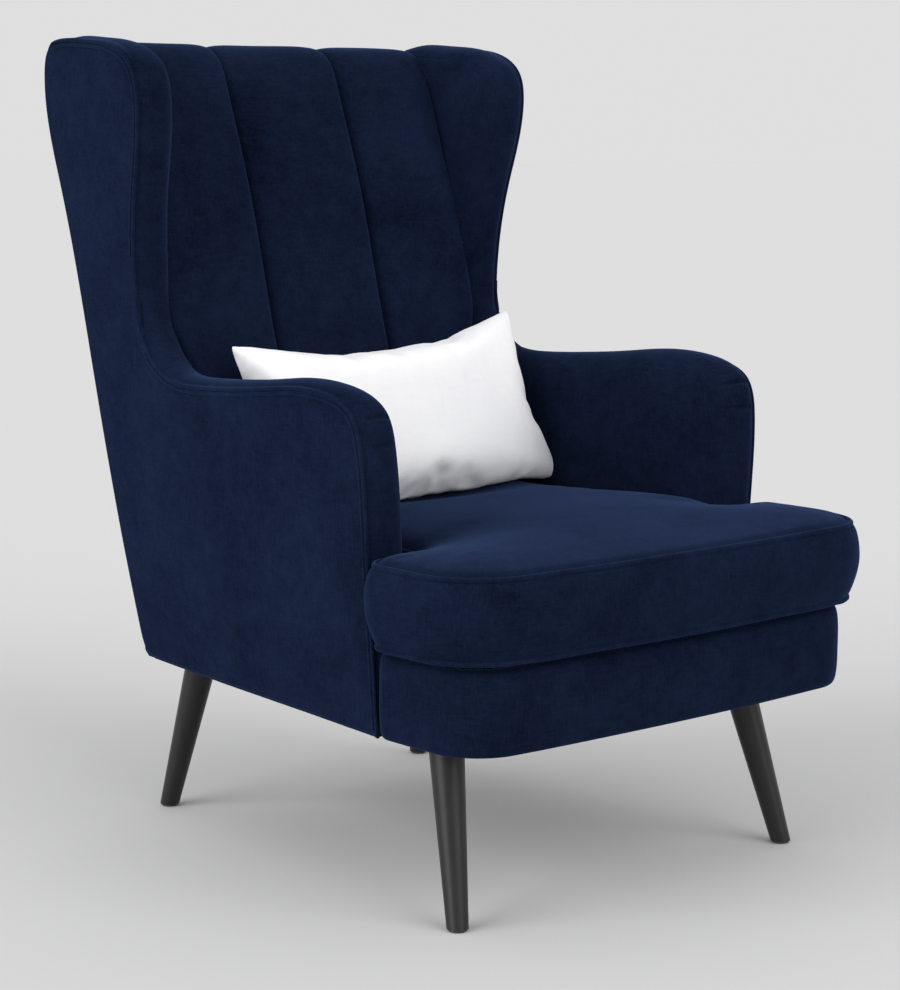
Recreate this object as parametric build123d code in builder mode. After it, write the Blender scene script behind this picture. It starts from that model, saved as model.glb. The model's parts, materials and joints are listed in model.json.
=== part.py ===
"""Wingback armchair on splayed legs, with a lift-off T-cushion and a lumbar pillow.

Millimetres, +Z up. The chair faces -Y and stands on Z = 0. X = 0 is the plane of symmetry of
everything but the pillow.
The two sides lean outwards and toe in towards the back, so everything on a side is drawn in that
side's own plane: u runs to the back, v runs up, and depth is counted inwards from the outer face.
"""

import os
from math import cos, radians, sin

from build123d import *

# ---- Driving dimensions -------------------------------------------------------------------------

SIDE_X = 281.5          # outer face of a side, at Y = 0 and Z = 0
SIDE_LEAN = 0.0605      # how far the side leans out, per unit of height
SIDE_TOE_IN = 0.0602    # how far it closes in, per unit of depth
SIDE_BOTTOM = 213.0
ARM_FRONT = -242.0
ARM_HEIGHT = 615.0
WING_TOP = 1032.0
SEAM = 607.0            # where the wing board stands on the arm board
# The rear edge from top to bottom: u, v and the direction that faces out of it, in degrees.
REAR_POINTS = [(455, 980, 0), (431, 835, -12), (383, 611, -13), (327, 346, -13), (300, 246, -15)]

SKIN = 4.0              # fabric with its thin backing foam
BOARD = 18.0            # plywood of the sides
MEMBER = 20.0           # timber members fixed inside the boards
PAD = 20.0              # foam and cover of the inner faces
BAND_DEPTH = 50.0       # width of the boxing band that edges arm and wing
EDGE_PAD = 12.0         # thickness of the band over the boards' edges
REAR_POST = 42.0        # front-to-back size of the back uprights

RAIL_BOTTOM = 225.0
RAIL_TOP = 300.0
RAIL = 25.0             # thickness of the front rail

BORDER_HALF_WIDTH = 326.0
BORDER_FRONT = -433.0
BORDER_BOW = 8.0
BORDER_CORNER = 71.0
BORDER_PAD = 26.0
BORDER_BOTTOM = 218.0
BORDER_TOP = 320.0

CUSHION_HALF_WIDTH = 349.0
CUSHION_FRONT = -453.0
CUSHION_CORNER = 84.0
CUSHION_EAR_BACK = -250.0
CUSHION_BACK = 160.0
CUSHION_BOTTOM = 322.3
CUSHION_TOP = 442.0
CUSHION_SKIN = 4.0
CUSHION_GAP = 5.0       # to the arms on each side
CUSHION_NECK = 14.0     # how much narrower the waist is just behind the ears
PIPING = 3.0

CHANNEL_SEAM = 95.0     # each seam of the inside back, from the plane of symmetry
CHANNEL_PAD = 25.0
CHANNEL_CROWN = 12.0

LEG_TOP = 222.5
LEG_TOP_RADIUS = 22.0
LEG_FOOT_RADIUS = 13.0
GLIDE_HEIGHT = 3.0
PLATE = 58.0
PLATE_THICKNESS = 2.5
BOLT_RADIUS = 4.0
FRONT_FOOT = (277.0, -345.0)
FRONT_LEG_HEAD = (246.5, -288.0)
REAR_FOOT = (222.0, 320.0)
REAR_LEG_HEAD = (197.5, 267.0)

PILLOW_WIDTH = 460.0
PILLOW_HEIGHT = 225.0
PILLOW_THICKNESS = 100.0
PILLOW_LEAN = 20.0      # degrees back from upright
PILLOW_FOOT = (8.0, 90.0, 446.0)

SIDES = {"left": -1, "right": 1}


def export(part, name):
    """Labels one finished piece and writes its STEP file."""
    part.label = name
    export_step(part, f"parts/{name}.step")


os.makedirs("parts", exist_ok=True)

# ---- Planes and shared outlines -----------------------------------------------------------------


def side_plane(depth=0.0, sign=1):
    """The outer plane of a side, moved inwards by depth; sign -1 is the mirrored, left side."""
    outward = Vector(1, SIDE_TOE_IN, -SIDE_LEAN).normalized()
    rearward = Vector(SIDE_LEAN, 0, 1).cross(outward).normalized()
    if sign < 0:
        outward, rearward = (Vector(-v.X, v.Y, v.Z) for v in (outward, rearward))
    start = Vector(sign * SIDE_X, 0, 0) - outward * depth
    return Plane(origin=start, x_dir=rearward, z_dir=outward)


def side_x(y, z, depth=0.0):
    """X of the right side's plane at that depth, at the given Y and Z."""
    return SIDE_X + SIDE_LEAN * z - SIDE_TOE_IN * y - depth


def moved_in(point, inset):
    """A point (u, v, direction that faces out of the outline there), moved inwards by inset."""
    u, v, outward = point
    return (u - inset * cos(radians(outward)), v - inset * sin(radians(outward)))


def side_outline(inset=0.0):
    """Outline of a side, from the arm's front round the wing to the rear, drawn in by inset."""

    def at(*point):
        return moved_in(point, inset)

    bottom_front = (ARM_FRONT + inset, SIDE_BOTTOM + inset)
    with BuildSketch() as sketch:
        with BuildLine():
            Line(bottom_front, at(ARM_FRONT + 2, 540, 180))
            ThreePointArc(at(ARM_FRONT + 2, 540, 180), at(-224, 594, 141), at(-172, ARM_HEIGHT, 93))
            Spline(at(-172, ARM_HEIGHT, 93), at(-40, 611, 87), at(112, 599, 90), at(204, 613, 112),
                   at(242, 659, 162), at(248, 705, 181), at(233, 836, 190), at(211, 944, 184),
                   tangents=[(1, 0.06), (-0.07, 1)])
            ThreePointArc(at(211, 944, 184), at(222, 995, 150), at(262, 1021, 108))
            Spline(at(262, 1021, 108), at(330, 1030, 93), at(400, WING_TOP, 90))
            ThreePointArc(at(400, WING_TOP, 90), at(441, 1018, 48), at(455, 980, 0))
            Spline(*(at(*point) for point in REAR_POINTS))
            ThreePointArc(at(300, 246, -15), at(291, 227, -45), at(270, 220, -89))
            Line(at(270, 220, -89), bottom_front)
        make_face()
    return sketch.sketch


def edge_ring(outer, inner):
    """The strip between two insets of the side's outline."""
    with BuildSketch() as sketch:
        add(side_outline(outer))
        add(side_outline(inner), mode=Mode.SUBTRACT)
    return sketch.sketch


def behind_rear_line(inset):
    """Everything behind the rear edge once that edge is moved forward by inset."""
    line = [moved_in(point, inset) for point in REAR_POINTS]
    with BuildSketch() as sketch:
        with BuildLine():
            Polyline(line[-1], (line[-1][0] - 10, 150), (700, 150), (700, 1100), (line[0][0], 1100),
                     line[0])
            Spline(*line)
        make_face()
    return sketch.sketch


def rear_strip(outer, inner):
    """The strip along the rear edge between two insets."""
    with BuildSketch() as sketch:
        add(behind_rear_line(inner))
        add(behind_rear_line(outer), mode=Mode.SUBTRACT)
    return sketch.sketch


def region(*points):
    """A closed area with straight edges, used to keep one stretch of an outline."""
    with BuildSketch() as sketch:
        with BuildLine():
            Polyline(*points, close=True)
        make_face()
    return sketch.sketch


FRONT_ZONE = region((-300, 200), (-215, 200), (-215, 540), (150, 540), (300, 700), (300, 990),
                    (425, 990), (425, 1100), (-300, 1100))
BELOW_SEAM = region((-300, 200), (500, 200), (500, SEAM), (-300, SEAM))
ABOVE_SEAM = region((-300, SEAM + 0.5), (500, SEAM + 0.5), (500, 1100), (-300, 1100))


def plate(profile, keep, depth, thickness):
    """A flat piece of the right side: profile kept inside one region, from depth inwards."""
    with BuildPart() as piece:
        with BuildSketch(side_plane(depth)):
            add(profile)
            if keep is not None:
                add(keep, mode=Mode.INTERSECT)
        extrude(amount=-thickness)
    return piece.part


def export_both_sides(right_part, name):
    """Writes a right-hand piece and its mirror image as name_right and name_left."""
    export(right_part, f"{name}_right")
    with BuildPart() as left:
        add(mirror(right_part, about=Plane.YZ))
    export(left.part, f"{name}_left")


# ---- Side frames --------------------------------------------------------------------------------

BOARD_OUTLINE = side_outline(EDGE_PAD)
MEMBER_DEPTH = SKIN + BOARD
PAD_DEPTH = MEMBER_DEPTH + MEMBER
INNER_FACE = PAD_DEPTH + PAD

export_both_sides(plate(BOARD_OUTLINE, BELOW_SEAM, SKIN, BOARD), "arm_board")
export_both_sides(plate(BOARD_OUTLINE, ABOVE_SEAM, SKIN, BOARD), "wing_board")

front_post_area = region((-226, 302), (-189, 302), (-189, 545), (-226, 545))
arm_rail_area = region((-189, 560), (180, 560), (180, 584), (-189, 584))
export_both_sides(plate(front_post_area, None, MEMBER_DEPTH, MEMBER), "front_post")
export_both_sides(plate(arm_rail_area, None, MEMBER_DEPTH, MEMBER), "arm_rail")

# The upright follows the back's curve, just inside its rear edge.
upright_strip = rear_strip(6, 6 + REAR_POST)
UPRIGHT_DEPTH = 28.0
upright_area = region((180, RAIL_BOTTOM), (500, RAIL_BOTTOM), (500, 985), (330, 985))
export_both_sides(plate(upright_strip, upright_area, MEMBER_DEPTH, UPRIGHT_DEPTH), "back_upright")
UPRIGHT_INNER = MEMBER_DEPTH + UPRIGHT_DEPTH

# ---- Side covers and pads -----------------------------------------------------------------------

# The outside cover lies flat on the boards and wraps round their rear and bottom edges.
with BuildPart() as outside_cover:
    with BuildSketch(side_plane(0)):
        add(side_outline())
        with BuildSketch(mode=Mode.PRIVATE) as front_strip:
            add(edge_ring(0, EDGE_PAD))
            add(FRONT_ZONE, mode=Mode.INTERSECT)
        add(front_strip.sketch, mode=Mode.SUBTRACT)
    extrude(amount=-SKIN)
    with BuildSketch(side_plane(SKIN)):
        add(edge_ring(0, EDGE_PAD))
        add(FRONT_ZONE, mode=Mode.SUBTRACT)
    extrude(amount=-BOARD)
export_both_sides(outside_cover.part, "outside_cover")

# Above the seat the boxing band has its full width; below it, the band passes outside the rail.
FULL_BAND_ZONE = region((-300, 322), (-215, 322), (-215, 540), (150, 540), (300, 700), (300, 990),
                        (425, 990), (425, 1100), (-300, 1100))
with BuildPart() as boxing_band:
    with BuildSketch(side_plane(SKIN)):
        add(edge_ring(0, EDGE_PAD))
        add(FULL_BAND_ZONE, mode=Mode.INTERSECT)
    extrude(amount=-(BAND_DEPTH - SKIN))
    with BuildSketch(side_plane(SKIN)):
        add(edge_ring(0, EDGE_PAD))
        add(region((-300, 200), (-215, 200), (-215, 322), (-300, 322)), mode=Mode.INTERSECT)
    extrude(amount=-(BOARD - 0.5))
export_both_sides(boxing_band.part, "boxing_band")

# Double welt: two cords sewn side by side on one tape.
WELT_CORD = 4.5
with BuildPart() as double_welt:
    with BuildSketch(side_plane(2.0)):
        add(edge_ring(0.5, EDGE_PAD - 0.5))
        add(FRONT_ZONE, mode=Mode.INTERSECT)
    extrude(amount=-2.0)
    for start in (0.5, EDGE_PAD - 0.5 - WELT_CORD):
        with BuildSketch(side_plane(-1.0)):
            add(edge_ring(start, start + WELT_CORD))
            add(FRONT_ZONE, mode=Mode.INTERSECT)
        extrude(amount=-3.0)
export_both_sides(double_welt.part, "double_welt")

pad_outline = side_outline(EDGE_PAD + 0.5)


def inner_pad(keep):
    """Foam and cover on the inside of a side, in front of the back upright."""
    with BuildPart() as piece:
        with BuildSketch(side_plane(PAD_DEPTH)):
            add(pad_outline)
            add(keep, mode=Mode.INTERSECT)
            add(behind_rear_line(54), mode=Mode.SUBTRACT)
        extrude(amount=-PAD)
    return piece.part


export_both_sides(inner_pad(region((-300, 322), (500, 322), (500, SEAM), (-300, SEAM))), "arm_pad")
export_both_sides(inner_pad(ABOVE_SEAM), "wing_pad")

# ---- Seat frame ---------------------------------------------------------------------------------

CORNER_X = BORDER_HALF_WIDTH - BORDER_CORNER
CORNER_Y = BORDER_FRONT + BORDER_CORNER
RAIL_CORNER = BORDER_CORNER - BORDER_PAD
RAIL_FRONT = CORNER_Y - RAIL_CORNER

with BuildPart() as front_rail:
    with BuildSketch(Plane.XY.offset(RAIL_BOTTOM)):
        with Locations((0, RAIL_FRONT + RAIL / 2)):
            Rectangle(2 * CORNER_X, RAIL)
    extrude(amount=RAIL_TOP - RAIL_BOTTOM)
export(front_rail.part, "front_rail")

with BuildPart() as rail_corners:
    with BuildSketch(Plane.XY.offset(RAIL_BOTTOM)):
        for sign in SIDES.values():
            with Locations((sign * CORNER_X, CORNER_Y)):
                Circle(RAIL_CORNER)
        with Locations((0, CORNER_Y + RAIL_CORNER / 2)):
            Rectangle(4 * CORNER_X, RAIL_CORNER, mode=Mode.SUBTRACT)
        with Locations((0, CORNER_Y - RAIL_CORNER / 2)):
            Rectangle(2 * CORNER_X, RAIL_CORNER, mode=Mode.SUBTRACT)
    extrude(amount=RAIL_TOP - RAIL_BOTTOM)
export(rail_corners.part, "rail_corner_blocks")

seat_rail_area = region((CORNER_Y + 2, RAIL_BOTTOM + 2), (236, RAIL_BOTTOM + 2), (236, RAIL_TOP),
                        (CORNER_Y + 2, RAIL_TOP))
export_both_sides(plate(seat_rail_area, None, MEMBER_DEPTH, MEMBER), "seat_rail")

BACK_RAIL_HALF = 156.0
back_rail_strip = rear_strip(8, 36)
with BuildPart() as back_rail:
    with BuildSketch(Plane.YZ):
        add(back_rail_strip)
        add(region((180, RAIL_BOTTOM), (500, RAIL_BOTTOM), (500, RAIL_TOP), (180, RAIL_TOP)),
            mode=Mode.INTERSECT)
    extrude(amount=BACK_RAIL_HALF, both=True)
export(back_rail.part, "back_rail")


def leg_axis(foot, head, sign):
    """Plane at the head of a leg, with its normal along the leg, pointing up."""
    top = Vector(sign * head[0], head[1], LEG_TOP)
    bottom = Vector(sign * foot[0], foot[1], GLIDE_HEIGHT)
    return Plane(origin=top, z_dir=top - bottom)


LEG_POSITIONS = {
    f"{row}_{side}": (foot, head, sign)
    for row, foot, head in (("front", FRONT_FOOT, FRONT_LEG_HEAD), ("rear", REAR_FOOT, REAR_LEG_HEAD))
    for side, sign in SIDES.items()
}

BOLT_IN_BLOCK = 40.0
BOLT_IN_LEG = 32.0
FRONT_BLOCK = (206.0, 267.0, -330.0, -246.0)     # low x, high x, low y, high y
REAR_BLOCK = (157.0, 228.0, 205.0, 284.0)

with BuildPart() as leg_blocks:
    for block in (FRONT_BLOCK, REAR_BLOCK):
        with BuildSketch(Plane.XY.offset(RAIL_BOTTOM)):
            for sign in SIDES.values():
                with Locations((sign * (block[0] + block[1]) / 2, (block[2] + block[3]) / 2)):
                    Rectangle(block[1] - block[0], block[3] - block[2])
        extrude(amount=RAIL_TOP - RAIL_BOTTOM)
    for foot, head, sign in LEG_POSITIONS.values():
        with BuildSketch(leg_axis(foot, head, sign)):
            Circle(BOLT_RADIUS + 0.05)
        extrude(amount=BOLT_IN_BLOCK + 1, mode=Mode.SUBTRACT)
export(leg_blocks.part, "leg_blocks")

# ---- Seat springing -----------------------------------------------------------------------------

SPRING_COUNT = 5
SPRING_SPACING = 82.0
SPRING_BOTTOM = RAIL_TOP + 1.3
SPRING_WIRE = 3.8
SPRING_HALF_WIDTH = 24.0
SPRING_STEP = 17.0
SPRING_START = RAIL_FRONT + 14
SPRING_END = 266.0
CLIP = (16.0, 12.0)

bends = int((SPRING_END - SPRING_START - 2 * SPRING_STEP) // SPRING_STEP)
zigzag = [(0, SPRING_START), (0, SPRING_START + SPRING_STEP)]
for i in range(bends - 1):
    zigzag += [(SPRING_HALF_WIDTH * (-1) ** i, SPRING_START + (i + 1) * SPRING_STEP),
               (SPRING_HALF_WIDTH * (-1) ** i, SPRING_START + (i + 2) * SPRING_STEP)]
zigzag += [(0, SPRING_START + bends * SPRING_STEP), (0, SPRING_END)]

with BuildSketch() as spring_strip:
    with BuildLine():
        FilletPolyline(*zigzag, radius=6)
    trace(line_width=SPRING_WIRE)

with BuildPart() as seat_springs:
    with BuildSketch(Plane.XY.offset(SPRING_BOTTOM)):
        with GridLocations(SPRING_SPACING, 0, SPRING_COUNT, 1):
            add(spring_strip.sketch)
    extrude(amount=SPRING_WIRE)
export(seat_springs.part, "seat_springs")

with BuildPart() as spring_clips:
    for y in (SPRING_START + 4, SPRING_END - 4):
        with BuildSketch(Plane.XZ.offset(-y + CLIP[1] / 2)):
            with GridLocations(SPRING_SPACING, 0, SPRING_COUNT, 1):
                with Locations((0, RAIL_TOP + 3.2)):
                    Rectangle(CLIP[0], 6.4)
                with Locations((2, RAIL_TOP + 3.2)):
                    Rectangle(CLIP[0] - 1.2, 4.0, mode=Mode.SUBTRACT)
        extrude(amount=-CLIP[1])
export(spring_clips.part, "spring_clips")

TIE_RADIUS = 1.2
with BuildPart() as tie_wires:
    for y in (-210, 90):
        with BuildSketch(Plane.YZ):
            with Locations((y, SPRING_BOTTOM + SPRING_WIRE + TIE_RADIUS)):
                Circle(TIE_RADIUS)
        extrude(amount=205, both=True)
export(tie_wires.part, "spring_tie_wires")

DECK_BACK = 180.0
INSULATOR = (308.0, 2.5)     # height of its underside, thickness
DECK_PAD = (310.5, 11.0)


def deck_plan():
    """Plan of the seat deck: full width in front of the arms, tapering between the sides."""
    waist = side_x(ARM_FRONT, RAIL_TOP, PAD_DEPTH) - 4
    back = side_x(DECK_BACK, RAIL_TOP, PAD_DEPTH) - 4
    half = CORNER_X + RAIL_CORNER - 2
    with BuildSketch() as sketch:
        with BuildLine():
            Polyline((0, RAIL_FRONT + 2), (CORNER_X, RAIL_FRONT + 2))
            RadiusArc((CORNER_X, RAIL_FRONT + 2), (half, CORNER_Y), -(RAIL_CORNER - 2))
            Polyline((half, CORNER_Y), (half, ARM_FRONT - 3), (waist, ARM_FRONT - 3),
                     (back, DECK_BACK), (0, DECK_BACK))
            mirror(about=Plane.YZ)
        make_face()
    return sketch.sketch


for name, (bottom, thickness) in {"spring_insulator": INSULATOR, "deck_pad": DECK_PAD}.items():
    with BuildPart() as layer:
        with BuildSketch(Plane.XY.offset(bottom)):
            add(deck_plan())
        extrude(amount=thickness)
    export(layer.part, name)

# ---- Front border and dust cover ----------------------------------------------------------------

BORDER_END = ARM_FRONT - 3

with BuildPart() as front_border:
    with BuildSketch(Plane.XY.offset(BORDER_BOTTOM)):
        with BuildLine():
            edge = BORDER_FRONT + BORDER_BOW
            ThreePointArc((-CORNER_X, edge), (0, BORDER_FRONT), (CORNER_X, edge))
            RadiusArc((CORNER_X, edge), (BORDER_HALF_WIDTH, edge + BORDER_CORNER), -BORDER_CORNER)
            inner = BORDER_HALF_WIDTH - BORDER_PAD
            Polyline((BORDER_HALF_WIDTH, edge + BORDER_CORNER), (BORDER_HALF_WIDTH, BORDER_END),
                     (inner, BORDER_END), (inner, CORNER_Y))
            RadiusArc((inner, CORNER_Y), (CORNER_X, RAIL_FRONT), RAIL_CORNER)
            Line((CORNER_X, RAIL_FRONT), (-CORNER_X, RAIL_FRONT))
            RadiusArc((-CORNER_X, RAIL_FRONT), (-inner, CORNER_Y), RAIL_CORNER)
            Polyline((-inner, CORNER_Y), (-inner, BORDER_END), (-BORDER_HALF_WIDTH, BORDER_END),
                     (-BORDER_HALF_WIDTH, edge + BORDER_CORNER))
            RadiusArc((-BORDER_HALF_WIDTH, edge + BORDER_CORNER), (-CORNER_X, edge), -BORDER_CORNER)
        make_face()
    extrude(amount=BORDER_TOP - BORDER_BOTTOM)
export(front_border.part, "front_border")

DUST_COVER = 1.5
PLATE_CUT = PLATE + 3
with BuildPart() as dust_cover:
    with BuildSketch(Plane.XY.offset(RAIL_BOTTOM - DUST_COVER)):
        with BuildLine():
            half_front = side_x(CORNER_Y, RAIL_BOTTOM, MEMBER_DEPTH) - 4
            half_back = side_x(240, RAIL_BOTTOM, MEMBER_DEPTH) - 4
            Polyline((-half_front, CORNER_Y), (-CORNER_X, RAIL_FRONT + 3), (CORNER_X, RAIL_FRONT + 3),
                     (half_front, CORNER_Y), (half_back, 240), (150, 240), (150, 280), (-150, 280),
                     (-150, 240), (-half_back, 240), close=True)
        make_face()
        for foot, head, sign in LEG_POSITIONS.values():
            with Locations((sign * head[0], head[1])):
                Rectangle(PLATE_CUT, PLATE_CUT, mode=Mode.SUBTRACT)
    extrude(amount=DUST_COVER)
export(dust_cover.part, "dust_cover")

# ---- Legs, plates, bolts, screws and glides -----------------------------------------------------

for name, (foot, head, sign) in LEG_POSITIONS.items():
    with BuildPart() as leg:
        with BuildSketch(Plane.XY.offset(GLIDE_HEIGHT)):
            with Locations((sign * foot[0], foot[1])):
                Circle(LEG_FOOT_RADIUS)
        with BuildSketch(Plane.XY.offset(LEG_TOP)):
            with Locations((sign * head[0], head[1])):
                Circle(LEG_TOP_RADIUS)
        loft()
        with BuildSketch(leg_axis(foot, head, sign)):
            Circle(BOLT_RADIUS + 0.05)
        extrude(amount=12, mode=Mode.SUBTRACT)
        with BuildSketch(leg_axis(foot, head, sign)):
            Circle(BOLT_RADIUS + 0.05)
        extrude(amount=-BOLT_IN_LEG - 1, mode=Mode.SUBTRACT)
    export(leg.part, f"leg_{name}")

SCREW_OFFSET = PLATE / 2 - 8
SCREW_RADIUS = 2.0
with BuildPart() as leg_plates:
    for foot, head, sign in LEG_POSITIONS.values():
        with BuildSketch(Plane.XY.offset(LEG_TOP)):
            with Locations((sign * head[0], head[1])):
                RectangleRounded(PLATE, PLATE, 5)
                Circle(BOLT_RADIUS + 2, mode=Mode.SUBTRACT)
                with GridLocations(2 * SCREW_OFFSET, 2 * SCREW_OFFSET, 2, 2):
                    Circle(SCREW_RADIUS + 0.3, mode=Mode.SUBTRACT)
        extrude(amount=PLATE_THICKNESS)
export(leg_plates.part, "leg_plates")

with BuildPart() as plate_screws:
    for foot, head, sign in LEG_POSITIONS.values():
        with BuildSketch(Plane.XY.offset(LEG_TOP - 1.6)):
            with Locations((sign * head[0], head[1])):
                with GridLocations(2 * SCREW_OFFSET, 2 * SCREW_OFFSET, 2, 2):
                    Circle(2.2 * SCREW_RADIUS)
        extrude(amount=1.6)
        with BuildSketch(Plane.XY.offset(LEG_TOP)):
            with Locations((sign * head[0], head[1])):
                with GridLocations(2 * SCREW_OFFSET, 2 * SCREW_OFFSET, 2, 2):
                    Circle(SCREW_RADIUS)
        extrude(amount=PLATE_THICKNESS)
export(plate_screws.part, "plate_screws")

with BuildPart() as hanger_bolts:
    for foot, head, sign in LEG_POSITIONS.values():
        with BuildSketch(leg_axis(foot, head, sign)):
            Circle(BOLT_RADIUS)
        extrude(amount=BOLT_IN_BLOCK)
        with BuildSketch(leg_axis(foot, head, sign)):
            Circle(BOLT_RADIUS)
        extrude(amount=-BOLT_IN_LEG)
export(hanger_bolts.part, "hanger_bolts")

with BuildPart() as floor_glides:
    with BuildSketch():
        for foot, head, sign in LEG_POSITIONS.values():
            with Locations((sign * foot[0], foot[1])):
                Circle(LEG_FOOT_RADIUS - 2)
    extrude(amount=GLIDE_HEIGHT)
    chamfer(floor_glides.faces().group_by(Axis.Z)[0].edges(), 1)
export(floor_glides.part, "floor_glides")

# ---- Back ---------------------------------------------------------------------------------------


def across_back(profile, keep, depth):
    """A piece that spans the back: a profile in the YZ plane, ending on both sides at depth."""
    with BuildPart() as piece:
        with BuildSketch(Plane.YZ):
            add(profile)
            add(keep, mode=Mode.INTERSECT)
        extrude(amount=SIDE_X + 60, both=True)
        for sign in SIDES.values():
            split(bisect_by=side_plane(depth, sign), keep=Keep.BOTTOM)
    return piece.part


def height_band(low, high):
    """Everything near the back between two heights."""
    return region((120, low), (520, low), (520, high), (120, high))


export(across_back(back_rail_strip, height_band(935, 980), UPRIGHT_INNER + 0.5), "back_top_rail")
export(across_back(back_rail_strip, height_band(545, 605), UPRIGHT_INNER + 0.5), "lumbar_rail")

WEBBING_STRIPS = 6
WEBBING_WIDTH = 50.0
with BuildPart() as webbing_across:
    for i in range(WEBBING_STRIPS):
        low = 360 + i * 98
        add(across_back(rear_strip(53, 55), height_band(low, low + WEBBING_WIDTH), MEMBER_DEPTH + 4))
export(webbing_across.part, "webbing_across")

with BuildPart() as webbing_up:
    for x in (-120, 0, 120):
        with BuildSketch(Plane.YZ.offset(x - WEBBING_WIDTH / 2)):
            add(rear_strip(55.2, 57))
            add(height_band(330, 960), mode=Mode.INTERSECT)
        extrude(amount=WEBBING_WIDTH)
export(webbing_up.part, "webbing_up")

# Front face of the inside back, at its seams: upright behind the cushion, then leaning back.
BACK_PAD_BOTTOM = 325.0
LOWER_FACE = (184.0, 450.0)
TOP_FACE = (356.0, 1016.0)


def face_line(forward):
    """The face curve as a closed area reaching far to the back, moved forward by that much."""
    with BuildSketch() as sketch:
        with BuildLine():
            Line((LOWER_FACE[0] - forward, BACK_PAD_BOTTOM), (LOWER_FACE[0] - forward, LOWER_FACE[1]))
            Spline((LOWER_FACE[0] - forward, LOWER_FACE[1]), (228 - forward, 620),
                   (287 - forward, 833), (TOP_FACE[0] - forward, TOP_FACE[1]))
            Polyline((TOP_FACE[0] - forward, TOP_FACE[1]), (600, TOP_FACE[1]),
                     (600, BACK_PAD_BOTTOM), (LOWER_FACE[0] - forward, BACK_PAD_BOTTOM))
        make_face()
    return sketch.sketch


CORE_TOP = 986.0
core_profile = face_line(-CHANNEL_PAD - 0.3)
with BuildSketch() as core_area:
    add(height_band(BACK_PAD_BOTTOM, CORE_TOP))
    add(behind_rear_line(58.5), mode=Mode.SUBTRACT)
export(across_back(core_profile, core_area.sketch, INNER_FACE + 0.5), "back_foam")

# Each channel faces the foam and rolls over the top of the frame to the rear edge.
with BuildSketch() as channel_profile:
    add(face_line(CHANNEL_CROWN))
    add(side_outline(4), mode=Mode.INTERSECT)
    with BuildSketch(mode=Mode.PRIVATE) as behind:
        add(face_line(-CHANNEL_PAD))
        add(height_band(0, CORE_TOP + 1), mode=Mode.INTERSECT)
    add(behind.sketch, mode=Mode.SUBTRACT)
    top_front = channel_profile.vertices().group_by(Axis.Y)[-1].sort_by(Axis.X)[0]
    fillet(top_front, radius=20)

CHANNELS = {
    "inside_back_left": (-400, -CHANNEL_SEAM - 0.3),
    "inside_back_centre": (-CHANNEL_SEAM, CHANNEL_SEAM),
    "inside_back_right": (CHANNEL_SEAM + 0.3, 400),
}
for name, (low_x, high_x) in CHANNELS.items():
    with BuildPart() as channel:
        with BuildSketch(Plane.YZ.offset(low_x)):
            add(channel_profile.sketch)
        extrude(amount=high_x - low_x)
        for sign in SIDES.values():
            split(bisect_by=side_plane(INNER_FACE + 0.5, sign), keep=Keep.BOTTOM)
    export(channel.part, name)

export(across_back(rear_strip(0.5, 2.5), height_band(227, 1005), MEMBER_DEPTH + 0.5),
       "outside_back_cover")
export(across_back(rear_strip(2.8, 4.8), height_band(227, CORE_TOP), MEMBER_DEPTH + 2),
       "backing_board")

# ---- Seat cushion -------------------------------------------------------------------------------


def cushion_plan(grow):
    """T-shaped plan of the seat cushion, grown outwards by that much."""
    waist = side_x(CUSHION_EAR_BACK, CUSHION_TOP, INNER_FACE) - CUSHION_GAP - CUSHION_NECK + grow
    back = side_x(CUSHION_BACK, CUSHION_BOTTOM, INNER_FACE) - CUSHION_GAP + grow
    centre_x = CUSHION_HALF_WIDTH - CUSHION_CORNER
    centre_y = CUSHION_FRONT + BORDER_BOW + CUSHION_CORNER
    radius = CUSHION_CORNER + grow
    half, edge = centre_x + radius, centre_y - radius
    ear, rear = CUSHION_EAR_BACK + grow, CUSHION_BACK + grow
    with BuildSketch() as sketch:
        with BuildLine():
            ThreePointArc((-centre_x, edge), (0, CUSHION_FRONT - grow), (centre_x, edge))
            RadiusArc((centre_x, edge), (half, centre_y), -radius)
            Polyline((half, centre_y), (half, ear), (waist, ear), (back, rear), (-back, rear),
                     (-waist, ear), (-half, ear), (-half, centre_y))
            RadiusArc((-half, centre_y), (-centre_x, edge), -radius)
        make_face()
    return sketch.sketch


with BuildPart() as cushion_core:
    with BuildSketch(Plane.XY.offset(CUSHION_BOTTOM + CUSHION_SKIN)):
        add(cushion_plan(-CUSHION_SKIN))
    extrude(amount=CUSHION_TOP - CUSHION_BOTTOM - 2 * CUSHION_SKIN)
export(cushion_core.part, "seat_cushion_core")

with BuildPart() as cushion_cover:
    with BuildSketch(Plane.XY.offset(CUSHION_BOTTOM)):
        add(cushion_plan(0))
    extrude(amount=CUSHION_TOP - CUSHION_BOTTOM)
    add(cushion_core.part, mode=Mode.SUBTRACT)
export(cushion_cover.part, "seat_cushion_cover")

for name, height in {"cushion_top_piping": 424.0, "cushion_bottom_piping": 324.0}.items():
    with BuildPart() as piping:
        with BuildSketch(Plane.XY.offset(height)):
            add(cushion_plan(PIPING))
            add(cushion_plan(0.05), mode=Mode.SUBTRACT)
        extrude(amount=2 * PIPING)
    export(piping.part, name)

ZIP_HALF_LENGTH = 190.0
ZIP_HEIGHT = 375.0
with BuildPart() as zip_tape:
    with BuildSketch(Plane.XZ.offset(-CUSHION_BACK - 0.05)):
        with Locations((0, ZIP_HEIGHT)):
            Rectangle(2 * ZIP_HALF_LENGTH, 24)
    extrude(amount=-1.0)
export(zip_tape.part, "cushion_zip_tape")

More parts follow.
